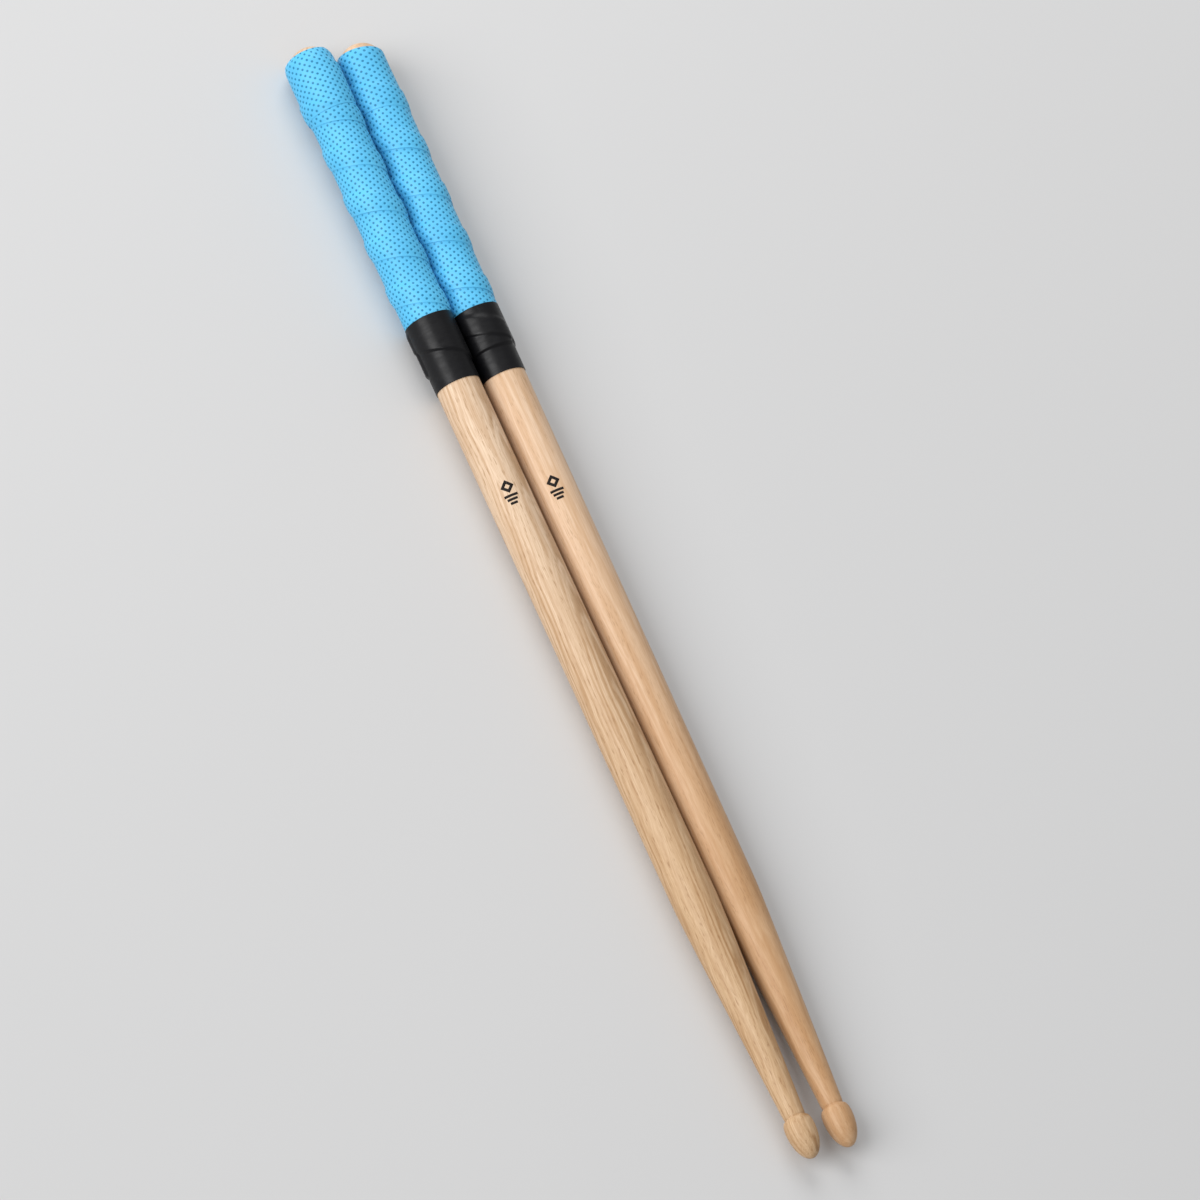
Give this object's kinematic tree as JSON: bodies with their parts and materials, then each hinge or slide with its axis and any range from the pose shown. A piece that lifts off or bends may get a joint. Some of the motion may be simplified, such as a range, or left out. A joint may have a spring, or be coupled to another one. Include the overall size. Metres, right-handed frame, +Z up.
{
  "type": "drumstick pair",
  "caption": "Wood-tipped drumsticks lying side by side, butts and lower shafts wound in blue perforated grip wrap that is finished with black tape.",
  "frame": {"origin": "on the floor under the middle of the pair's bounding box, with both sticks lying side by side", "axes": "+Z up, sticks along Y with the butts at +Y and the tips at -Y, left stick at -X and right stick at +X"},
  "size_m": [0.0348, 0.4058, 0.0175],
  "materials": {
    "pale_wood": "thin satin varnish, straight grain",
    "warm_wood": "thin satin varnish, straight grain",
    "blue_wrap": "matt perforated polyurethane strip",
    "black_tape": "satin vinyl tape",
    "tab_film": "adhesive film"
  },
  "bodies": {
    "left_drumstick": {"left_stick": "pale_wood", "left_grip_wrap": "blue_wrap", "left_finishing_tape": "black_tape", "left_start_tab": "tab_film"},
    "right_drumstick": {"right_stick": "warm_wood", "right_grip_wrap": "blue_wrap", "right_finishing_tape": "black_tape", "right_start_tab": "tab_film"}
  },
  "joints": [
    {"name": "sticks_apart", "type": "slide", "parent": "left_drumstick", "child": "right_drumstick", "axis": [1, 0, 0], "range_m": [0, 0.12]}
  ]
}
